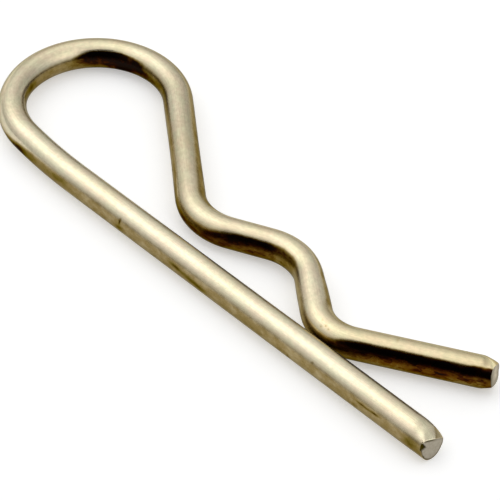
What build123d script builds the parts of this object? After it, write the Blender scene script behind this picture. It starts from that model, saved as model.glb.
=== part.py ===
from build123d import *
import os
from math import cos, radians, sin, tan

# A hairpin clip, bent from one length of round spring wire. The straight leg goes through
# a cross hole in a round shaft, and the bent leg snaps over the outside of that shaft.
# Sizes are in millimetres and degrees. The origin is the point of the straight leg's axis
# that lies on the shaft's axis. X runs along the leg to its free end, Y points across to
# the bent leg, and Z is square to the flat of the clip.

# The wire, and the shaft that the clip is made to hold
wire_d = 4.5
shaft_d = 19.05

# The straight leg and the loop
overall_length = 95.25
loop_inside_d = 20.0
lead_in_r = 88.0
lead_in_turn = 8.0

# Clear gaps between the legs, at the two bends that point at the straight leg
throat_gap = 3.0
nip_gap = 0.2

# Inside radii of the bends in the bent leg
throat_bend_r = 6.5
saddle_bend_r = 6.0
nip_bend_r = 4.75

# Slopes, against the straight leg, of the straight runs between the bends
loop_slope = 38.0
saddle_rise_slope = 25.5
saddle_fall_slope = 36.5
tail_slope = 30.0
tail_length = 19.5

# The cropped ends. Sides of an end are angles from its left edge, seen from above with the end
# pointing away, towards Z. Each face leans back from square on its lean side, and a blade leaves
# a rolled edge on the side that it came from. The tail was pinched between two blades.
leg_lean = 11.0
leg_lean_side = 76.0
leg_blade_side = 64.0
leg_roll_depth = 1.6
leg_roll_length = 4.2
tail_lean = 8.5
tail_lean_side = 110.0
tail_blade_side = 60.0
tail_roll_depth = 0.95
tail_roll_length = 2.5
tail_under_roll_depth = 0.7
tail_under_roll_length = 2.4
crop_waste = 3.0

# Radii and heights of the wire's centreline
wire_r = wire_d / 2
loop_r = loop_inside_d / 2 + wire_r
throat_r = throat_bend_r + wire_r
saddle_r = saddle_bend_r + wire_r
nip_r = nip_bend_r + wire_r
throat_y = wire_d + throat_gap
saddle_y = (shaft_d + wire_d) / 2
nip_y = wire_d + nip_gap


def across(radius, turn):
    """How far an arc of this radius carries the wire along the leg, from its level point."""
    return radius * sin(radians(turn))


def rise(radius, turn):
    """How far the same arc lifts the wire from the leg."""
    return radius * (1 - cos(radians(turn)))


def run_between(height, first_r, second_r, slope):
    """Length of the straight run between two opposite bends whose level points differ by height."""
    return (height - rise(first_r, slope) - rise(second_r, slope)) / sin(radians(slope))


# Straight runs that bring each bend to its height
loop_y = rise(lead_in_r, lead_in_turn) + loop_r * cos(radians(lead_in_turn))
loop_run = run_between(loop_y + loop_r - throat_y, loop_r, throat_r, loop_slope)
saddle_rise_run = run_between(saddle_y - throat_y, throat_r, saddle_r, saddle_rise_slope)
saddle_fall_run = run_between(saddle_y - nip_y, saddle_r, nip_r, saddle_fall_slope)

# The saddle's crown is over the origin, so the loop's centre lies this far back from it
loop_x = -(
    across(loop_r + throat_r, loop_slope)
    + loop_run * cos(radians(loop_slope))
    + across(throat_r + saddle_r, saddle_rise_slope)
    + saddle_rise_run * cos(radians(saddle_rise_slope))
)
tip_x = loop_x - loop_r - wire_r + overall_length
leg_start_x = loop_x + across(lead_in_r - loop_r, lead_in_turn)


def bend(before, radius, turn):
    """An arc that carries on from the edge before it. Positive turns go from the leg to the loop."""
    return JernArc(before @ 1, before % 1, radius, -turn)


def run(before, length):
    """A straight run that carries on from the arc before it."""
    return Line(before @ 1, before @ 1 + (before % 1) * length)


# The wire's centreline, from the straight leg's free end round to the tail's
leg = Line((tip_x + crop_waste, 0, 0), (leg_start_x, 0, 0))
lead_in = bend(leg, lead_in_r, lead_in_turn)
loop = bend(lead_in, loop_r, 180 - lead_in_turn + loop_slope)
loop_fall = run(loop, loop_run)
throat = bend(loop_fall, throat_r, -(loop_slope + saddle_rise_slope))
saddle_rise = run(throat, saddle_rise_run)
saddle = bend(saddle_rise, saddle_r, saddle_rise_slope + saddle_fall_slope)
saddle_fall = run(saddle, saddle_fall_run)
nip = bend(saddle_fall, nip_r, -(saddle_fall_slope + tail_slope))
tail = run(nip, tail_length + crop_waste)
centreline = Wire([leg, lead_in, loop, loop_fall, throat, saddle_rise, saddle, saddle_fall, nip, tail])


def facing(outward, side):
    """The direction square to an end's way out that points to this side of it."""
    left = Vector(0, 0, 1).cross(outward)
    return left * cos(radians(side)) + Vector(0, 0, 1) * sin(radians(side))


def cropped(wire, end, outward, lean, lean_side, rolls):
    """Crop the wire at a point: a face that leans back on one side, and a rolled edge for each blade."""
    # The edge opposite the lean side is the furthest point, level with the end
    set_back = facing(outward, lean_side)
    face_normal = outward * cos(radians(lean)) + set_back * sin(radians(lean))
    face = Plane(origin=end - set_back * wire_r, z_dir=face_normal)
    wire = split(wire, bisect_by=face, keep=Keep.BOTTOM)

    # A rolled edge is one arc that leaves the wire's surface as a tangent and ends by the face's middle
    face_middle = end - outward * wire_r * tan(radians(lean))
    for blade_side, depth, length in rolls:
        side_view = Plane(origin=face_middle, x_dir=outward, z_dir=outward.cross(facing(outward, blade_side)))
        start = (-length, wire_r)
        finish = (0, wire_r - depth)
        roll = TangentArc(start, finish, tangent=(1, 0))
        low_corner = (crop_waste, wire_r - depth)
        high_corner = (crop_waste, wire_d)
        waste = roll + Polyline(finish, low_corner, high_corner, (-length, wire_d), start)
        wire -= extrude(side_view * make_face(waste), wire_r + crop_waste, both=True)
    return wire


spring_wire = sweep(Plane(origin=leg @ 0, z_dir=leg % 0) * Circle(wire_r), path=centreline)
leg_rolls = [(leg_blade_side, leg_roll_depth, leg_roll_length)]
spring_wire = cropped(spring_wire, Vector(tip_x, 0, 0), Vector(1, 0, 0), leg_lean, leg_lean_side, leg_rolls)
tail_end = nip @ 1 + (nip % 1) * tail_length
tail_rolls = [
    (tail_blade_side, tail_roll_depth, tail_roll_length),
    (tail_blade_side + 180, tail_under_roll_depth, tail_under_roll_length),
]
spring_wire = cropped(spring_wire, tail_end, tail % 1, tail_lean, tail_lean_side, tail_rolls)

os.makedirs("parts", exist_ok=True)
export_step(spring_wire, "parts/spring_wire.step")
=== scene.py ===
import bpy
import numpy as np
from math import cos, pi, radians, sin, tan
from mathutils import Matrix, Vector


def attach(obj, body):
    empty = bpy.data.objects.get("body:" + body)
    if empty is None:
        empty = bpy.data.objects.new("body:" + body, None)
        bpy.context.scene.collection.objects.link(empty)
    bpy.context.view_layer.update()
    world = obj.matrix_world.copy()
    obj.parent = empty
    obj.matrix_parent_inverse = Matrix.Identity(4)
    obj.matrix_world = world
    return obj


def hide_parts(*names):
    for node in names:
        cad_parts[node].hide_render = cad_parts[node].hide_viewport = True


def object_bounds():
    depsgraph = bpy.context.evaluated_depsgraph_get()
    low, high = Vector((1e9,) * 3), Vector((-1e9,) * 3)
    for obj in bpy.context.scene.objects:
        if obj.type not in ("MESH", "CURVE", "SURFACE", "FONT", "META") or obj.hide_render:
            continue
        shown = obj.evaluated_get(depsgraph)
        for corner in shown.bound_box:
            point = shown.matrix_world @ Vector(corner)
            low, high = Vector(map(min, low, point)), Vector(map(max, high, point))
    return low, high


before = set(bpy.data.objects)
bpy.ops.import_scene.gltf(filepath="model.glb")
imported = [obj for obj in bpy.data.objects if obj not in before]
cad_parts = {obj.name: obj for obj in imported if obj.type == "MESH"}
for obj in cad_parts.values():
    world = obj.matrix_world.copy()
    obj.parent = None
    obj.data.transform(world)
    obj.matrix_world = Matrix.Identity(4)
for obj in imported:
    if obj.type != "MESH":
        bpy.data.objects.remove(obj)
cad_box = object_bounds()

# The spring wire. One length of hard-drawn round steel wire, bent cold on pins and cropped at
# both ends, then zinc plated and passivated, which leaves it pale yellow. Its flanks carry a painted
# reflection of the dark surroundings and the shaded floor, tan and brown to black, with some stains.
wire_d = 4.5e-3
# The dressed wire is a hair thinner than the solid one, which it has to stay inside
wire_r = 2.238e-3

# Sizes of the clip: its length, the shaft that it holds, the loop and the soft lead-in to it, clear
# gaps from the straight leg to the two bends that point at it, and inside radii of the bends. The
# lead-in's turn and the slopes of the straight runs are in degrees.
overall_length = 95.25e-3
shaft_d = 19.05e-3
loop_inside_d = 20.0e-3
lead_in_r = 88.0e-3
lead_in_turn = 8.0
throat_gap = 3.0e-3
nip_gap = 0.2e-3
throat_bend_r = 6.5e-3
saddle_bend_r = 6.0e-3
nip_bend_r = 4.75e-3
loop_slope = 38.0
saddle_rise_slope = 25.5
saddle_fall_slope = 36.5
tail_slope = 30.0
tail_length = 19.5e-3

# Radii of the wire's centreline, and its heights over the straight leg's
loop_r = loop_inside_d / 2 + wire_d / 2
throat_r = throat_bend_r + wire_d / 2
saddle_r = saddle_bend_r + wire_d / 2
nip_r = nip_bend_r + wire_d / 2
throat_y = wire_d + throat_gap
saddle_y = (shaft_d + wire_d) / 2
nip_y = wire_d + nip_gap


def arc_across(radius, turn):
    """How far an arc carries the wire along the leg, from its level point: radius times sin(turn)."""
    return radius * sin(radians(turn))


def arc_rise(radius, turn):
    """How far the same arc lifts it from the leg: radius times (1 - cos(turn))."""
    return radius * (1 - cos(radians(turn)))


def run_between(rise, first_r, second_r, slope):
    """Length of the straight run between two opposite bends whose level points differ by the rise: what
    the two arcs leave of it, over sin(slope)."""
    return (rise - arc_rise(first_r, slope) - arc_rise(second_r, slope)) / sin(radians(slope))


leg_run = overall_length - loop_r - wire_d / 2 - arc_across(lead_in_r - loop_r, lead_in_turn)
loop_y = arc_rise(lead_in_r, lead_in_turn) + loop_r * cos(radians(lead_in_turn))
loop_run = run_between(loop_y + loop_r - throat_y, loop_r, throat_r, loop_slope)
rise_run = run_between(saddle_y - throat_y, throat_r, saddle_r, saddle_rise_slope)
fall_run = run_between(saddle_y - nip_y, saddle_r, nip_r, saddle_fall_slope)

# The route of the wire from the leg's tip to the tail's end: the length of each run, or the radius of
# each bend, and its turn in degrees, which is to the left where it is less than 0. Sizes are kept to
# the micrometre.
straight = 0.0
route = (
    (leg_run, straight),
    (lead_in_r, lead_in_turn),
    (loop_r, 180 - lead_in_turn + loop_slope),
    (loop_run, straight),
    (throat_r, -(loop_slope + saddle_rise_slope)),
    (rise_run, straight),
    (saddle_r, saddle_rise_slope + saddle_fall_slope),
    (fall_run, straight),
    (nip_r, -(saddle_fall_slope + tail_slope)),
    (tail_length, straight),
)
wire_route = [(round(size, 6), turn) for size, turn in route]

# The saddle's crown is over the origin. The route sets out from the leg's tip, back towards the loop.
loop_to_saddle = (
    arc_across(loop_r + throat_r, loop_slope)
    + loop_run * cos(radians(loop_slope))
    + arc_across(throat_r + saddle_r, saddle_rise_slope)
    + rise_run * cos(radians(saddle_rise_slope))
)
tip_x = overall_length - wire_d / 2 - loop_r - loop_to_saddle
leg_tip = np.array([round(tip_x, 6), 0.0])
leg_heading = pi

turns = np.radians([turn for size, turn in wire_route])
lengths = np.array([size if turn == straight else size * abs(radians(turn)) for size, turn in wire_route])
starts = np.concatenate([[0.0], np.cumsum(lengths)])
wire_length = starts[-1]
headings = leg_heading - np.concatenate([[0.0], np.cumsum(turns)])[:-1]
curls = turns / lengths


def chord(stretch, run):
    """From a stretch's start: the straight line to a point this far along its arc, which is the arc's
    length times sin(half turn) / half turn, and points along the heading at half the turn."""
    half_turn = curls[stretch] * run / 2
    heading = headings[stretch] - half_turn
    reach = run * np.sinc(half_turn / pi)
    return np.stack([reach * np.cos(heading), reach * np.sin(heading)], axis=-1)


joins = leg_tip + np.concatenate([[[0.0, 0.0]], np.cumsum(chord(np.arange(len(lengths)), lengths), axis=0)])


def wire_axis(along):
    """Centre and heading of the wire at each distance along it. The heading turns evenly round a bend
    and holds on a run, and the centre is the stretch's start plus its chord."""
    stretch = np.clip(np.searchsorted(starts, along, side="right") - 1, 0, len(lengths) - 1)
    run = along - starts[stretch]
    return joins[stretch] + chord(stretch, run), headings[stretch] - curls[stretch] * run


def eased(value, low, high):
    """An eased step: 0 below low and 1 above high, and 3 t squared less 2 t cubed between them."""
    t = np.clip((value - low) / (high - low), 0, 1)
    return t * t * (3 - 2 * t)


# Marks in the wire: place along it in wire diameters, angle round it from the clip's outside towards
# its top, half-length and half-width, depth of metal lost, and stain and shade, paler where it is less
# than 0. This adds to the flanks' painted dark: part real stain, part more painted shade.
nick, scuff, bruise = 26e-6, 10e-6, 14e-6
marks = (
    (0.55, 8, 1.3e-3, 0.9e-3, 0.0, 0.30),
    (1.98, 17, 0.75e-3, 0.13e-3, scuff, 0.42),
    (2.24, 14.5, 0.55e-3, 0.10e-3, scuff, 0.34),
    (2.50, 16, 0.75e-3, 0.12e-3, scuff, 0.42),
    (2.72, -8, 0.22e-3, 0.45e-3, 0.0, 0.30),
    (4.55, 33, 0.20e-3, 0.16e-3, scuff, 0.20),
    (5.50, -18, 0.14e-3, 0.40e-3, scuff, 0.35),
    (9.40, -3, 1.4e-3, 0.32e-3, 0.0, 0.28),
    (9.90, 5, 1.5e-3, 0.30e-3, scuff, 0.40),
    (10.45, 11, 1.1e-3, 0.28e-3, scuff, 0.42),
    (12.98, -1, 0.7e-3, 0.45e-3, 0.0, 0.32),
    (13.00, 23, 0.16e-3, 0.42e-3, nick, 0.55),
    (15.90, 10, 2.0e-3, 0.50e-3, 0.0, 0.22),
    (18.05, -15, 1.8e-3, 0.80e-3, 0.0, 0.55),
    (20.90, 172, 1.4e-3, 0.40e-3, 0.0, 0.30),
    (24.20, 208, 3.2e-3, 0.55e-3, 0.0, -0.25),
    (25.20, 185, 0.7e-3, 1.60e-3, 0.0, 0.75),
    (26.30, 176, 1.3e-3, 0.35e-3, 0.0, 0.20),
    (30.90, 75, 1.2e-3, 0.50e-3, scuff, 0.10),
    (32.20, 90, 0.8e-3, 0.40e-3, scuff, 0.08),
    (36.95, 190, 0.5e-3, 1.10e-3, 0.0, 0.16),
    (37.60, 174, 2.2e-3, 0.55e-3, 0.0, 0.13),
    (39.90, 133, 0.16e-3, 0.35e-3, bruise, 0.12),
    (40.87, 108, 0.15e-3, 0.16e-3, bruise, 0.20),
    (40.98, 129, 0.18e-3, 0.18e-3, bruise, 0.32),
    (41.08, 117, 0.22e-3, 0.20e-3, bruise, 0.34),
    (41.20, 121, 0.16e-3, 0.17e-3, bruise, 0.30),
    (43.20, 82, 0.18e-3, 0.50e-3, bruise, 0.20),
    (43.92, 182, 0.55e-3, 0.30e-3, scuff, 0.24),
    (44.66, 176, 0.85e-3, 0.18e-3, scuff, 0.28),
    (45.05, 157, 0.90e-3, 0.26e-3, 0.0, -0.18),
    (45.44, 178, 0.62e-3, 0.24e-3, scuff, 0.28),
    (45.78, 172, 0.35e-3, 0.15e-3, 0.0, 0.16),
    (46.04, 173, 0.35e-3, 0.22e-3, 0.0, 0.20),
)


def spaced(length, coarse, fine, spots):
    """Distances along the wire for its rings. Their density is one over the coarse step, plus one over
    the fine step times a bell at each spot, and the rings are set at equal steps of its running sum."""
    samples = 40001
    along = np.linspace(0, length, samples)
    density = np.full_like(along, 1 / coarse)
    for place, reach in spots:
        density = density + np.exp(-(((along - place) / reach) ** 2)) / fine
    total = np.concatenate([[0.0], np.cumsum((density[1:] + density[:-1]) / 2 * np.diff(along))])
    return np.interp(np.linspace(0, total[-1], int(total[-1]) + 1), total, along)


# Rings stand closer at the cropped ends and at the short dents, and turn the ends' broken edges over
edge_r = 0.07e-3
edge_steps = edge_r * (1 - np.cos(np.radians([0, 25, 45, 65, 90])))
end_reach = 2.5e-3
short_dent = 0.6e-3
ring_spots = [(0.0, end_reach), (wire_length, end_reach)]
for place, _, half_length, _, depth, _ in marks:
    if depth > 0 and half_length < short_dent:
        ring_spots.append((place * wire_d, 1.3 * half_length))
along = spaced(wire_length, coarse=0.44e-3, fine=0.10e-3, spots=ring_spots)
along = np.unique(np.concatenate([along, edge_steps, wire_length - edge_steps]))
columns = 112
around = np.arange(columns) * (2 * pi / columns)
centre, heading = wire_axis(along)
ahead = np.stack([np.cos(heading), np.sin(heading), np.zeros_like(heading)], axis=-1)
side = np.stack([-np.sin(heading), np.cos(heading), np.zeros_like(heading)], axis=-1)
up = np.array([0.0, 0.0, 1.0])
centre = np.column_stack([centre, np.zeros_like(heading)])

# Where the wire was drawn thin as it was bent: place and half-length, and metal off outside and inside
thin_places = (
    (20.5 * wire_d, 5.5e-3, 0.11e-3, 0.19e-3),
    (31.0 * wire_d, 7.0e-3, 0.05e-3, 0.09e-3),
    (38.5 * wire_d, 3.0e-3, 0.17e-3, 0.14e-3),
)
outside_thin = sum(off * np.exp(-(((along - place) / reach) ** 2)) for place, reach, off, _ in thin_places)
inside_thin = sum(off * np.exp(-(((along - place) / reach) ** 2)) for place, reach, _, off in thin_places)

# Section of each ring, across (to the outside of the clip) and upwards, and how far its points are
# shifted along the wire
across = wire_r * np.cos(around)[None, :] * np.ones((len(along), 1))
across = across - np.cos(around)[None, :] * np.where(across > 0, outside_thin[:, None], inside_thin[:, None])
height = wire_r * np.sin(around)[None, :] * np.ones((len(along), 1))
shift = np.zeros_like(across)


def mark_weight(place, angle, half_length, half_width):
    """How much of a mark each point of the wire has: a bell of its distance from it along the wire,
    times a bell of its distance round it."""
    turn = (around - radians(angle) + pi) % (2 * pi) - pi
    length_bell = np.exp(-(((along - place * wire_d) / half_length) ** 2))
    width_bell = np.exp(-((wire_r * turn / half_width) ** 2))
    return length_bell[:, None] * width_bell[None, :]


dents = sum(depth * mark_weight(*mark) for *mark, depth, stain_and_shade in marks)
across = across - dents * np.cos(around)
height = height - dents * np.sin(around)


# Where a rolled edge meets the wire it is a soft corner, and a softer one on the side that opens.
# Rings slide towards a leaning face within its reach.
corner_softness = 0.08
open_softness = 0.12
lean_reach = 4.0e-3


def crop(across, height, shift, gap, way, lean, lean_side, rolls):
    """Shape the rings near a cropped end, where way is 1 if the wire's direction leads out of it. For each
    blade, metal outside an arc that leaves the surface as a tangent is drawn in to it, straight towards
    the wire's middle. The share is one over a soft maximum of 1 and how many times too far out the
    metal is. Then each ring slides along the wire until the last one lies in the leaning face."""
    right = across * way
    for blade_side, depth, length in rolls:
        blade = (cos(blade_side), sin(blade_side))
        radius = (length**2 + depth**2) / (2 * depth)
        into_roll = np.clip(length - gap, 0, length)[:, None]
        limit = wire_r - radius + np.sqrt(radius**2 - into_roll**2)
        sideways = height * blade[0] - right * blade[1]
        over = (right * blade[0] + height * blade[1]) / limit
        softness = corner_softness + open_softness * eased(sideways, 0.0, 1.5e-3)
        softness = softness * eased(into_roll, 0, 0.7 * length)
        draw_in = (1 + over) / 2 + np.sqrt(((over - 1) / 2) ** 2 + softness**2)
        right = right / draw_in
        height = height / draw_in
    ramp = np.clip(1 - gap / lean_reach, 0, 1)[:, None] ** 2
    towards_lean = right * cos(lean_side) + height * sin(lean_side)
    shift = shift - ramp * way * tan(lean) * (wire_r + towards_lean)
    return right * way, height, shift


def edge_share(gap):
    """Share of the section left where the broken edge turns over: a quarter circle in from the side."""
    into_edge = np.clip(edge_r - gap, 0, edge_r)
    return 1 - (edge_r - np.sqrt(edge_r**2 - into_edge**2)) / wire_r


# The cropped ends. Sides of an end are angles from the right edge of its face, seen face on, towards
# its top. Each face leans back on one side. Each roll has the side that its blade came from, and the
# rolled edge's depth and length. The tail was pinched between two blades.
leg_lean, leg_lean_side = radians(11), radians(76)
leg_blade_side = radians(64)
leg_rolls = ((leg_blade_side, 1.54e-3, 4.2e-3),)
tail_lean, tail_lean_side = radians(8.5), radians(110)
tail_blade_side = radians(60)
tail_rolls = ((tail_blade_side, 0.95e-3, 2.5e-3), (tail_blade_side + pi, 0.7e-3, 2.4e-3))
tip_gap = along
tail_gap = wire_length - along
across, height, shift = crop(across, height, shift, tip_gap, -1, leg_lean, leg_lean_side, leg_rolls)
across, height, shift = crop(across, height, shift, tail_gap, 1, tail_lean, tail_lean_side, tail_rolls)
shares = (edge_share(tip_gap) * edge_share(tail_gap))[:, None]
across = across * shares
height = height * shares

rings = (
    centre[:, None, :]
    + across[..., None] * side[:, None, :]
    + height[..., None] * up
    + shift[..., None] * ahead[:, None, :]
)
drawn = np.stack([across, height, along[:, None] + shift], axis=-1)


def tip_relief(right, height):
    """How far the leg's face lies behind its plane, and how dark it is made, at places to the right of
    its middle, seen face on, and above it. A chip at the left corner is the overlap of three eased half
    planes, a torn line runs close under the rolled edge and fades to the right, and the torn lower
    part lies a step behind the burnished upper one. The chip, the torn line and a pit are darkened as
    painted shade, and the rim is darker, most of all low on either side."""
    towards_blade = right * cos(leg_blade_side) + height * sin(leg_blade_side)

    chip_right, chip_height, chip_depth = -1.14e-3, 0.24e-3, 0.30e-3
    into_chip = -0.894 * (right - chip_right) - 0.447 * (height - chip_height)
    over_chip_foot = height - 0.12e-3
    under_roll = 0.45e-3 - towards_blade
    chip = eased(into_chip, -0.05e-3, 0.16e-3) * eased(over_chip_foot, -0.05e-3, 0.14e-3)
    chip = chip * eased(under_roll, 0.0, 0.2e-3)

    line_place, line_half_width, tear_depth = 0.56e-3, 0.14e-3, 0.05e-3
    line = np.exp(-(((towards_blade - line_place) / line_half_width) ** 2))
    line = line * (1 - 0.8 * eased(right, -0.3e-3, 1.3e-3))
    below_step = -towards_blade + 0.15e-3 * np.sin(right * 4200)
    torn = tear_depth * eased(below_step, 0.35e-3, 0.6e-3)

    pit_right, pit_height, pit_r = -1.95e-3, -0.92e-3, 0.2e-3
    pit = np.exp(-(((right - pit_right) / pit_r) ** 2) - ((height - pit_height) / pit_r) ** 2)
    low_right = eased(0.5 * right - 0.87 * height, 0.3e-3, 1.6e-3)
    low_left = eased(-right - 0.3 * height, 1.1e-3, 1.9e-3)
    rim = eased(np.hypot(right, height), 1.90e-3, 2.12e-3) * (0.35 + 0.4 * low_right + 0.6 * low_left)
    # Painted shade in the chip, the torn line and the pit, and a rim made darker
    stain_and_shade = np.clip(1.3 * chip + 0.9 * line + 1.1 * pit + rim, 0, 1.2)
    return chip_depth * chip + tear_depth * line + torn, stain_and_shade


def tail_relief(right, height):
    """The same for the tail's face: a shallow groove between the parts that each blade cut, darkened as
    painted shade, a face that is darker towards its left edge, and a darker rim."""
    towards_blade = right * cos(tail_blade_side) + height * sin(tail_blade_side)
    groove_depth, groove_half_width = 0.05e-3, 0.3e-3
    off_groove = towards_blade - 0.1e-3 - 0.1e-3 * np.sin(right * 3000)
    groove = np.exp(-((off_groove / groove_half_width) ** 2))
    fringe = eased(-right + 0.25 * height, 1.35e-3, 1.95e-3)
    rim = eased(np.hypot(right, height), 2.0e-3, 2.18e-3)
    return groove_depth * groove, np.clip(0.10 * groove + 0.55 * fringe + 0.3 * rim, 0, 1)


# A face's rings, as shares of its rim: close together by the rim, then even to near the middle
face_scales = np.concatenate([[1.0, 0.985, 0.965, 0.935], np.linspace(0.90, 0.04, 22)])


def face_rings(ring, ring_drawn, out, way, relief):
    """Close an end with rings that shrink from its rim to the middle of the face, each point set back
    from the face's plane by the relief at its place in the section. A ring is the middle plus its scale
    times the rim less the middle."""
    scales = face_scales[:, None, None]
    middle = ring.mean(axis=0)
    middle_drawn = ring_drawn.mean(axis=0)
    loops = middle + (ring - middle)[None] * scales
    loops_drawn = middle_drawn + (ring_drawn - middle_drawn)[None] * scales
    back, stain_and_shade = relief(loops_drawn[..., 0] * way, loops_drawn[..., 1])
    loops = loops - back[..., None] * out
    middle = middle - relief(middle_drawn[0] * way, middle_drawn[1])[0] * out
    return loops, loops_drawn, stain_and_shade, middle, middle_drawn


tip_face = face_rings(rings[0], drawn[0], -ahead[0], -1, tip_relief)
tail_face = face_rings(rings[-1], drawn[-1], ahead[-1], 1, tail_relief)
tip_loops, tip_drawn, tip_stain_and_shade, tip_middle, tip_middle_drawn = tip_face
tail_loops, tail_drawn, tail_stain_and_shade, tail_middle, tail_middle_drawn = tail_face

# The wire's own rings follow the relief too, from the rim, and fade it out over a short way
fade = 0.8e-3
tip_back = tip_relief(-drawn[..., 0], drawn[..., 1])[0] * np.clip(1 - tip_gap / fade, 0, 1)[:, None]
tail_back = tail_relief(drawn[..., 0], drawn[..., 1])[0] * np.clip(1 - tail_gap / fade, 0, 1)[:, None]
rings = rings + (tip_back - tail_back)[..., None] * ahead[:, None, :]

grid = np.concatenate([tip_loops[:0:-1], rings, tail_loops[1:]])
drawn_grid = np.concatenate([tip_drawn[:0:-1], drawn, tail_drawn[1:]])
rows = len(grid)
face_rows = len(tip_loops) - 1
points = np.concatenate([grid.reshape(-1, 3), [tip_middle], [tail_middle]])
drawn_points = np.concatenate([drawn_grid.reshape(-1, 3), [tip_middle_drawn], [tail_middle_drawn]])

row, column = np.meshgrid(np.arange(rows - 1), np.arange(columns), indexing="ij")
next_column = (column + 1) % columns
quads = np.stack(
    [row * columns + column, (row + 1) * columns + column, (row + 1) * columns + next_column,
     row * columns + next_column], axis=-1
).reshape(-1, 4)
ring = np.arange(columns)
next_ring = (ring + 1) % columns
last = (rows - 1) * columns
tip_fan = np.stack([ring, next_ring, np.full(columns, rows * columns)], axis=-1)
tail_fan = np.stack([last + next_ring, last + ring, np.full(columns, rows * columns + 1)], axis=-1)

# How strong the painted dark is along each flank, a painted reflection of the dark surroundings and
# the shaded floor with some stain in it: place in wire diameters, the slope angle of the surface where
# it starts (90 is the top of the wire, 0 its side), its strength, and how many degrees it takes to come
# up. Where it starts above 90, it is already there at the top.
inside_painted_dark = np.array([
    (0, 40, 0.38, 14), (15, 40, 0.38, 14), (19, 38, 0.45, 14), (20.3, 37, 0.58, 16), (21.0, 39, 0.68, 22),
    (21.9, 36, 0.72, 24), (22.7, 33, 0.68, 24), (23.2, 34, 0.84, 22), (23.7, 44, 1.22, 16),
    (24.1, 51, 1.62, 14), (25.3, 51, 1.62, 14), (25.9, 51, 1.45, 28), (26.4, 52, 1.22, 56),
    (27.0, 52, 1.08, 56), (27.6, 48, 0.78, 32), (28.4, 46, 0.50, 16), (29.5, 46, 0.42, 14),
    (32.2, 46, 0.42, 14), (33.2, 48, 0.70, 36), (33.9, 50, 1.12, 54), (34.6, 50, 1.12, 52),
    (35.2, 53, 1.10, 24), (35.6, 54, 1.08, 14), (36.5, 54, 1.08, 14), (36.9, 56, 0.90, 18),
    (37.3, 61, 0.80, 25), (38.0, 61, 0.72, 25), (38.6, 50, 0.40, 16), (39.0, 46, 0.34, 14),
    (39.9, 46, 0.34, 14), (40.4, 47, 0.58, 30), (40.8, 47, 0.72, 36), (41.3, 48, 0.80, 32),
    (41.7, 58, 0.95, 16), (42.2, 63, 0.95, 16), (45.3, 63, 0.96, 16), (45.9, 68, 0.98, 14),
    (46.3, 70, 0.98, 14),
])
outside_painted_dark = np.array([
    (0, 46, 0.40, 24), (15, 46, 0.40, 24), (16.2, 42, 0.44, 24), (17.3, 38, 0.56, 24),
    (18.2, 27, 0.54, 30), (18.9, 22, 0.32, 30), (20, 16, 0.14, 24), (25.5, 24, 0.12, 24),
    (26.3, 76, 0.25, 26), (27.2, 76, 0.26, 26), (28.4, 62, 0.36, 24), (31, 66, 0.42, 24),
    (33.1, 78, 0.44, 26), (34.2, 80, 0.42, 26), (35.2, 50, 0.26, 24), (36.0, 34, 0.20, 24),
    (37.0, 72, 0.22, 26), (38.0, 72, 0.26, 26), (38.6, 66, 0.38, 24), (39.9, 66, 0.42, 24),
    (40.5, 94, 0.27, 34), (41.4, 92, 0.26, 34), (42.4, 70, 0.20, 26), (46.3, 70, 0.20, 26),
])
# Share of the painted dark that is left at each slope angle, from near the underside up
fading_slopes = (-40, -30, -24, -18, -12, -6, 6, 12, 18, 24, 28)
inside_shares = (0.40, 0.48, 0.52, 0.56, 0.60, 0.64, 0.68, 0.71, 0.75, 0.89, 1.0)
outside_shares = (0.40, 0.50, 0.60, 0.75, 0.86, 0.95, 1.0, 1.0, 1.0, 1.0, 1.0)
slope = np.degrees(np.arcsin(np.sin(around)))[None, :]


def flank_painted_dark(table, shares):
    """Painted dark reflection on one flank. It comes up over an eased step below the starting angle,
    as wide as the spread, and is multiplied by the shares at the fading slopes. Its edge wanders by a
    sum of three sines along the wire."""
    place = along / wire_d
    top, strength, spread = (np.interp(place, table[:, 0], table[:, k])[:, None] for k in (1, 2, 3))
    wander = 0.4 * np.sin(5.1 * place) + 0.4 * np.sin(11.3 * place + 1) + 0.5 * np.sin(23.7 * place + 2)
    edge = eased(top + wander[:, None] - slope, 0, spread)
    return strength * edge * np.interp(slope, fading_slopes, shares)


flank_join = 0.13
inner_side = eased(-np.cos(around), -flank_join, flank_join)[None, :]
# The flanks' painted dark reflection of the surroundings and the shaded floor, with the marks' stain and
# shade added
painted_dark_and_stain = inner_side * flank_painted_dark(inside_painted_dark, inside_shares)
painted_dark_and_stain = painted_dark_and_stain + (1 - inner_side) * flank_painted_dark(outside_painted_dark, outside_shares)
painted_dark_and_stain = np.clip(painted_dark_and_stain + sum(stain_and_shade * mark_weight(*mark) for *mark, depth, stain_and_shade in marks), 0, 1)
painted_dark_and_stain_points = np.concatenate([tip_stain_and_shade[:0:-1].ravel(), painted_dark_and_stain.ravel(), tail_stain_and_shade[1:].ravel(), [0.0, 0.0]])

# Tone along the wire: place in wire diameters, share of yellow, and a brightness that lightens or darkens
# whole stretches
tones = np.array([
    (0, 0.15, 1.08), (15, 0.10, 1.08), (18, 0.02, 1.05), (20, 0.10, 0.96), (21.5, 0.20, 0.92),
    (23, 0.40, 1.0), (25, 0.65, 0.97), (26.5, 0.10, 0.95), (28.3, 0.20, 0.89), (30, 0.45, 0.83),
    (32, 0.38, 0.87), (34, 0.30, 0.95), (36, 0.60, 1.0), (38, 0.35, 1.02), (40, 0.30, 1.03),
    (41.5, 0.45, 1.0), (43, 1.0, 1.0), (46.3, 1.0, 1.0),
])
yellow = np.interp(drawn_points[:, 2] / wire_d, tones[:, 0], tones[:, 1])
bright = np.interp(drawn_points[:, 2] / wire_d, tones[:, 0], tones[:, 2])

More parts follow.
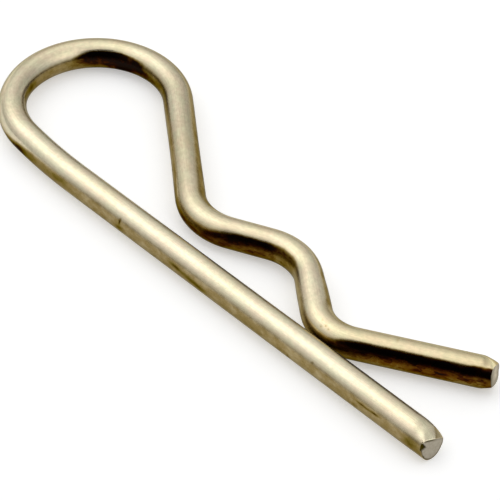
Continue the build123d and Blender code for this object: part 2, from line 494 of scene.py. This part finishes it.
# Painted highlight on the rolled edges, where the section is drawn in, the tail's most, and painted
# shade on the leg's on its right side, seen face on. The same painted highlight brightens the bends where
# the wire is thin.
rolled = eased(1 - np.hypot(drawn_points[:, 0], drawn_points[:, 1]) / wire_r, 0.02, 0.2)
leg_part = 20 * wire_d
at_tail = drawn_points[:, 2] > leg_part
leg_painted_highlight, leg_painted_shade, tail_painted_highlight = 0.36, 0.55, 0.60
leg_right = eased(-drawn_points[:, 0], -0.2e-3, 1.6e-3)
painted_roll_light = np.where(at_tail, tail_painted_highlight, leg_painted_highlight - leg_painted_shade * leg_right)
bright = bright * (1 + painted_roll_light * rolled)

# The sheared faces are plain, but the tail's broke bright near its middle, where its blades met
on_face_points = np.ones(len(points), bool)
on_face_points[face_rows * columns:(rows - face_rows) * columns] = False
face_brightness, break_brightness = 0.96, 0.9
break_right, break_height, break_r = 0.25e-3, 0.1e-3, 0.95e-3
off_break = np.hypot(drawn_points[:, 0] - break_right, drawn_points[:, 1] - break_height)
broke_off = np.exp(-((off_break / break_r) ** 2))
bright = np.where(on_face_points, face_brightness + break_brightness * broke_off * at_tail, bright)

wire_mesh = bpy.data.meshes.new("spring_wire_form")
wire_mesh.from_pydata(points.tolist(), [], quads.tolist() + tip_fan.tolist() + tail_fan.tolist())
drawn_place = wire_mesh.attributes.new("drawn_place", "FLOAT_VECTOR", "POINT")
drawn_place.data.foreach_set("vector", drawn_points.astype(np.float32).ravel())
for name, values in (("painted_dark_and_stain", painted_dark_and_stain_points), ("yellow", yellow), ("bright", bright)):
    attribute = wire_mesh.attributes.new(name, "FLOAT", "POINT")
    attribute.data.foreach_set("value", values.astype(np.float32))
wire_mesh.polygons.foreach_set("use_smooth", np.ones(len(wire_mesh.polygons), bool))
quad_row = np.repeat(np.arange(rows - 1), columns)
on_face = (quad_row < face_rows) | (quad_row >= rows - 1 - face_rows)
face_material = np.concatenate([on_face, np.ones(2 * columns, bool)]).astype(np.int32)
wire_mesh.polygons.foreach_set("material_index", face_material)

wire = bpy.data.objects.new("clip_wire", wire_mesh)
bpy.context.scene.collection.objects.link(wire)


class Finish:
    """A node material that is built up from values: each call adds a node and returns its output."""

    def __init__(self, name, metallic, edge_tint):
        """Start a metal, or else a plain surface, with the tint of its edges seen at a slant."""
        self.material = bpy.data.materials.new(name)
        self.material.use_nodes = True
        self.tree = self.material.node_tree
        self.shader = self.tree.nodes["Principled BSDF"]
        self.shader.inputs["Metallic"].default_value = metallic
        self.shader.inputs["Specular Tint"].default_value = edge_tint

    def give(self, socket, value):
        """Set a socket to a constant, or link it to another node's output."""
        if isinstance(value, bpy.types.NodeSocket):
            self.tree.links.new(value, socket)
        else:
            socket.default_value = value

    def attribute(self, name, output):
        """A value that is kept at each point of the mesh."""
        node = self.tree.nodes.new("ShaderNodeAttribute")
        node.attribute_name = name
        return node.outputs[output]

    def stretched(self, vector, scale):
        """The vector times a scale on each axis."""
        node = self.tree.nodes.new("ShaderNodeMapping")
        self.give(node.inputs["Vector"], vector)
        node.inputs["Scale"].default_value = scale
        return node.outputs[0]

    def noise(self, vector, scale, detail, roughness):
        """Clouds of values about a half, with scale waves to the metre of the vector."""
        node = self.tree.nodes.new("ShaderNodeTexNoise")
        self.give(node.inputs["Vector"], vector)
        node.inputs["Scale"].default_value = scale
        node.inputs["Detail"].default_value = detail
        node.inputs["Roughness"].default_value = roughness
        return node.outputs[0]

    def maths(self, operation, first, second, clamp=False):
        """The operation on two values, held between 0 and 1 if it is clamped."""
        node = self.tree.nodes.new("ShaderNodeMath")
        node.operation = operation
        node.use_clamp = clamp
        self.give(node.inputs[0], first)
        self.give(node.inputs[1], second)
        return node.outputs[0]

    def scaled(self, colour, factor):
        """A colour times a factor."""
        node = self.tree.nodes.new("ShaderNodeVectorMath")
        node.operation = "SCALE"
        self.give(node.inputs[0], colour)
        self.give(node.inputs["Scale"], factor)
        return node.outputs[0]

    def tinted(self, colour, tint):
        """A colour times a colour."""
        node = self.tree.nodes.new("ShaderNodeVectorMath")
        node.operation = "MULTIPLY"
        self.give(node.inputs[0], colour)
        self.give(node.inputs[1], tint)
        return node.outputs[0]

    def ranged(self, value, low, high, to_low, to_high):
        """Map a value from one range to another, held at both ends."""
        node = self.tree.nodes.new("ShaderNodeMapRange")
        self.give(node.inputs["Value"], value)
        node.inputs["From Min"].default_value = low
        node.inputs["From Max"].default_value = high
        node.inputs["To Min"].default_value = to_low
        node.inputs["To Max"].default_value = to_high
        return node.outputs[0]

    def blended(self, share, first, second):
        """Colours mixed by a share."""
        node = self.tree.nodes.new("ShaderNodeMix")
        node.data_type = "RGBA"
        self.give(node.inputs["Factor"], share)
        self.give(node.inputs["A"], first)
        self.give(node.inputs["B"], second)
        return node.outputs["Result"]

    def ramp(self, value, stops):
        """The colour at a value, between stops of a position and a colour."""
        node = self.tree.nodes.new("ShaderNodeValToRGB")
        self.give(node.inputs[0], value)
        elements = node.color_ramp.elements
        while len(elements) < len(stops):
            elements.new(0.5)
        for element, (position, colour) in zip(elements, stops):
            element.position = position
            element.color = colour + (1,)
        return node.outputs[0]

    def bump(self, height, strength, distance, below=None):
        """A surface tilted by a height, on top of the one below it if there is one."""
        node = self.tree.nodes.new("ShaderNodeBump")
        node.inputs["Strength"].default_value = strength
        node.inputs["Distance"].default_value = distance
        self.give(node.inputs["Height"], height)
        if below:
            self.give(node.inputs["Normal"], below)
        return node.outputs[0]


plating = Finish("yellow_plated_steel", 1.0, (0.46, 0.44, 0.38, 1))
place = plating.attribute("drawn_place", "Vector")
cloud = plating.noise(plating.stretched(place, (1, 1, 0.55)), 700, 4, 0.62)
fleck = plating.noise(plating.stretched(place, (1, 1, 0.7)), 1900, 3, 0.6)
lines = plating.noise(plating.stretched(place, (1, 1, 0.03)), 7500, 3, 0.65)
patches = plating.noise(plating.stretched(place, (1, 1, 0.35)), 260, 2, 0.5)

# Plating tone: pale to yellow along the wire, in patches, a little darker in the draw lines
pale_zinc = (0.70, 0.635, 0.468, 1)
yellow_zinc = (0.69, 0.595, 0.37, 1)
patchy = plating.ranged(patches, 0.3, 0.7, -0.25, 0.25)
yellow_share = plating.maths("ADD", plating.attribute("yellow", "Fac"), patchy, True)
tone = plating.blended(yellow_share, pale_zinc, yellow_zinc)
flecked = plating.ranged(fleck, 0.35, 0.75, 0.91, 1.06)
lined = plating.ranged(lines, 0.3, 0.7, 0.93, 1.05)
dulled = plating.maths("MULTIPLY", flecked, lined)
# The bright attribute also carries the painted highlight and painted shade on the rolled edges
dulled = plating.maths("MULTIPLY", dulled, plating.attribute("bright", "Fac"))
tone = plating.scaled(tone, dulled)

# The passivate's faint play of colour, from pink to green
play = plating.noise(plating.stretched(place, (1, 1, 0.45)), 900, 3, 0.6)
faint_pink = (1.025, 0.97, 0.97, 1)
faint_green = (0.985, 1.015, 0.985, 1)
green_share = plating.ranged(play, 0.38, 0.62, 0.0, 1.0)
tint = plating.blended(green_share, faint_pink, faint_green)
tone = plating.tinted(tone, tint)

# Tone of the painted dark reflection and stain: tan where it is weak, then olive or brown, maroon,
# and black where it is strongest, broken up by the clouds
clouded = plating.ranged(cloud, 0.3, 0.7, 0.80, 1.18)
speckled = plating.ranged(fleck, 0.3, 0.75, 1.06, 0.92)
broken = plating.maths("MULTIPLY", clouded, speckled)
painted_dark_share = plating.attribute("painted_dark_and_stain", "Fac")
darkness = plating.maths("MULTIPLY", painted_dark_share, broken)

# Drops that dried last left darker islands with a darker edge, where the painted dark is strong and the tone
# yellow
drops = plating.noise(plating.stretched(place, (1, 1, 0.45)), 1000, 2, 0.5)
dry_middle = plating.ranged(drops, 0.575, 0.605, 0.0, 0.6)
islands = plating.maths("SUBTRACT", plating.ranged(drops, 0.535, 0.555, 0.0, 1.0), dry_middle)
islands = plating.maths("MULTIPLY", islands, plating.ranged(painted_dark_share, 0.50, 0.60, 0.0, 0.19))
islands = plating.maths("MULTIPLY", islands, yellow_share)
darkness = plating.maths("ADD", darkness, islands, True)
olive_dark = plating.ramp(darkness, (
    (0.20, (0.54, 0.46, 0.29)), (0.40, (0.27, 0.20, 0.085)), (0.55, (0.18, 0.13, 0.03)),
    (0.68, (0.11, 0.078, 0.010)), (0.80, (0.05, 0.02, 0.003)), (0.90, (0.02, 0.006, 0.003)),
    (1.0, (0.010, 0.006, 0.004)),
))
brown_dark = plating.ramp(darkness, (
    (0.20, (0.54, 0.43, 0.22)), (0.40, (0.28, 0.20, 0.07)), (0.50, (0.19, 0.125, 0.028)),
    (0.58, (0.13, 0.062, 0.005)), (0.68, (0.09, 0.030, 0.002)), (0.80, (0.048, 0.009, 0.0018)),
    (0.90, (0.020, 0.005, 0.002)), (1.0, (0.010, 0.005, 0.004)),
))
painted_dark_tone = plating.blended(yellow_share, olive_dark, brown_dark)
cover = plating.ranged(darkness, 0.0, 0.26, 0.0, 1.0)
plating.give(plating.shader.inputs["Base Color"], plating.blended(cover, tone, painted_dark_tone))

# A satin surface, a little duller under the painted dark and stain, with a soft waviness and the lines of
# drawing
satin = plating.ranged(cloud, 0.3, 0.7, 0.225, 0.265)
satin = plating.maths("ADD", satin, plating.maths("MULTIPLY", darkness, 0.06))
plating.give(plating.shader.inputs["Roughness"], satin)
waves = plating.bump(cloud, 0.8, 0.8e-5)
draw_lines = plating.bump(lines, 0.35, 2.2e-6, waves)
plating.give(plating.shader.inputs["Normal"], plating.bump(fleck, 0.3, 2.5e-6, draw_lines))

# Bare steel of the sheared faces: dull grey, streaked the way the blade went, with painted shade in the
# hollows and a darker rim
sheared = Finish("sheared_steel", 1.0, (0.45, 0.43, 0.38, 1))
place = sheared.attribute("drawn_place", "Vector")
streaks = sheared.noise(sheared.stretched(place, (1, 0.2, 1)), 5200, 3, 0.6)
grain = sheared.noise(place, 2600, 4, 0.7)
dull_steel = (0.39, 0.345, 0.27, 1)
clean_steel = (0.50, 0.46, 0.375, 1)
face_dark_tone = (0.055, 0.040, 0.004, 1)
clean_share = sheared.ranged(grain, 0.35, 0.7, 0.0, 1.0)
steel = sheared.blended(clean_share, dull_steel, clean_steel)
steel = sheared.scaled(steel, sheared.attribute("bright", "Fac"))
uneven = sheared.ranged(grain, 0.3, 0.7, 0.85, 1.15)
# The faces' painted shade in their hollows, and their darker rims
face_darkening = sheared.maths("MULTIPLY", sheared.attribute("painted_dark_and_stain", "Fac"), uneven, True)
sheared.give(sheared.shader.inputs["Base Color"], sheared.blended(face_darkening, steel, face_dark_tone))
sheared.give(sheared.shader.inputs["Roughness"], sheared.ranged(streaks, 0.3, 0.7, 0.40, 0.54))
cut = sheared.bump(streaks, 0.5, 6e-6)
sheared.give(sheared.shader.inputs["Normal"], sheared.bump(grain, 0.6, 1.4e-5, cut))

wire_mesh.materials.append(plating.material)
wire_mesh.materials.append(sheared.material)

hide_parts("spring_wire")
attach(wire, "root")

# The floor. A plain sheet of pale card under the clip, matt and larger than any view of it. It glows
# to the camera and in the metal alone, so that it looks white and doesn't light the clip from below.
floor_drop = 2e-6
floor_z = cad_box[0][2] - floor_drop
half_floor = 2.0
floor_glow = 0.42
floor_mesh = bpy.data.meshes.new("floor_form")
floor_mesh.from_pydata(
    [(-half_floor, -half_floor, floor_z), (half_floor, -half_floor, floor_z),
     (half_floor, half_floor, floor_z), (-half_floor, half_floor, floor_z)], [], [(0, 1, 2, 3)]
)
floor = bpy.data.objects.new("floor", floor_mesh)
bpy.context.scene.collection.objects.link(floor)
card = Finish("pale_card", 0.0, (1, 1, 1, 1))
card.shader.inputs["Base Color"].default_value = (0.72, 0.72, 0.715, 1)
card.shader.inputs["Roughness"].default_value = 0.9
card.shader.inputs["Specular IOR Level"].default_value = 0.1
card.shader.inputs["Emission Color"].default_value = (1, 1, 1, 1)
ray = card.tree.nodes.new("ShaderNodeLightPath")
seen = card.maths("MAXIMUM", ray.outputs["Is Camera Ray"], ray.outputs["Is Glossy Ray"])
seen = card.maths("MAXIMUM", seen, ray.outputs["Is Transmission Ray"])
card.give(card.shader.inputs["Emission Strength"], card.maths("MULTIPLY", seen, floor_glow))
floor_mesh.materials.append(card.material)

# The studio. A pale room, lighter towards the ceiling, with a broad soft light high on the left, a low
# one at the far left, one on the right, a faint one ahead and a small low one under a dimmer corner
# beside it. The satin metal picks up the dark screen behind the camera as a dark band.
horizon_level = 0.47
ceiling_level = 0.57
ceiling_growth = 1.35
soft_lights = (
    # azimuth, elevation and half-width in degrees, and level, which is less than 0 in the dimmer corner
    (-172, 53, 28, 0.93),
    (166, -3, 13, 1.35),
    (6, 44, 20, 0.7),
    (124, 28, 26, 0.10),
    (85, 32, 20, -0.16),
    (89, 7, 12, 0.3),
)
world = bpy.data.worlds.new("pale_room")
world.use_nodes = True
room = world.node_tree
view_way = room.nodes.new("ShaderNodeTexCoord").outputs["Generated"]


def room_sum(operation, first, second):
    """A sum in the room's light: the operation on two values, which are constants or outputs."""
    node = room.nodes.new("ShaderNodeMath")
    node.operation = operation
    for socket, value in zip(node.inputs, (first, second)):
        if isinstance(value, bpy.types.NodeSocket):
            room.links.new(value, socket)
        else:
            socket.default_value = value
    return node.outputs[0]


def soft_light(azimuth, elevation, half_width, level):
    """A round light with soft edges: its level times e to the power k (cosine of the angle from its
    middle, less 1), where k is 2 over the half-width squared."""
    azimuth, elevation = radians(azimuth), radians(elevation)
    level_part = cos(elevation)
    middle = (cos(azimuth) * level_part, sin(azimuth) * level_part, sin(elevation))
    node = room.nodes.new("ShaderNodeVectorMath")
    node.operation = "DOT_PRODUCT"
    room.links.new(view_way, node.inputs[0])
    node.inputs[1].default_value = middle
    sharpness = 2 / radians(half_width) ** 2
    fall = room_sum("MULTIPLY", room_sum("SUBTRACT", node.outputs["Value"], 1.0), sharpness)
    return room_sum("MULTIPLY", room_sum("EXPONENT", fall, 0.0), level)


height_share = room.nodes.new("ShaderNodeSeparateXYZ")
room.links.new(view_way, height_share.inputs[0])
above_horizon = room_sum("MAXIMUM", height_share.outputs["Z"], 0.0)
ceiling = room_sum("MULTIPLY", room_sum("POWER", above_horizon, ceiling_growth), ceiling_level)
room_light = room_sum("ADD", ceiling, horizon_level)
for light in soft_lights:
    room_light = room_sum("ADD", room_light, soft_light(*light))
room.links.new(room_light, room.nodes["Background"].inputs["Strength"])
room.nodes["Background"].inputs["Color"].default_value = (1.0, 1.0, 1.0, 1)
bpy.context.scene.world = world

screen_foot = Vector((0.137, -0.344, floor_z))
screen_along = Vector((0.93, 0.37, 0)).normalized()
screen_left, screen_right, screen_height = 0.16, 0.45, 1.0
left_end = screen_foot - screen_along * screen_left
right_end = screen_foot + screen_along * screen_right
screen_mesh = bpy.data.meshes.new("dark_screen_form")
lift = Vector((0, 0, screen_height))
screen_mesh.from_pydata([left_end, right_end, right_end + lift, left_end + lift], [], [(0, 1, 2, 3)])
screen = bpy.data.objects.new("dark_screen", screen_mesh)
bpy.context.scene.collection.objects.link(screen)
felt = Finish("dark_felt", 0.0, (1, 1, 1, 1))
felt.shader.inputs["Base Color"].default_value = (0.004, 0.003, 0.003, 1)
felt.shader.inputs["Roughness"].default_value = 1.0
felt.shader.inputs["Specular IOR Level"].default_value = 0.0
screen_mesh.materials.append(felt.material)
screen.visible_camera = False

# The camera. It looks down on the clip from beyond the straight leg's tip, as in the photo, through
# a long lens, and is turned a little on its own axis.
camera_place = Vector((0.17460, -0.17145, 0.23717))
camera_aim = Vector((-0.00463, 0.00803, 0.0))
camera_roll = radians(1.729)
lens = bpy.data.cameras.new("camera")
lens.sensor_width = 36.0
lens.lens = 180.0
lens.clip_start = 0.01
lens.clip_end = 10.0
camera = bpy.data.objects.new("camera", lens)
level_view = (camera_aim - camera_place).to_track_quat("-Z", "Y").to_matrix()
camera.location = camera_place
camera.rotation_euler = (level_view @ Matrix.Rotation(camera_roll, 3, "Z")).to_euler()
bpy.context.scene.collection.objects.link(camera)
bpy.context.scene.camera = camera
bpy.context.scene.view_settings.view_transform = "Standard"
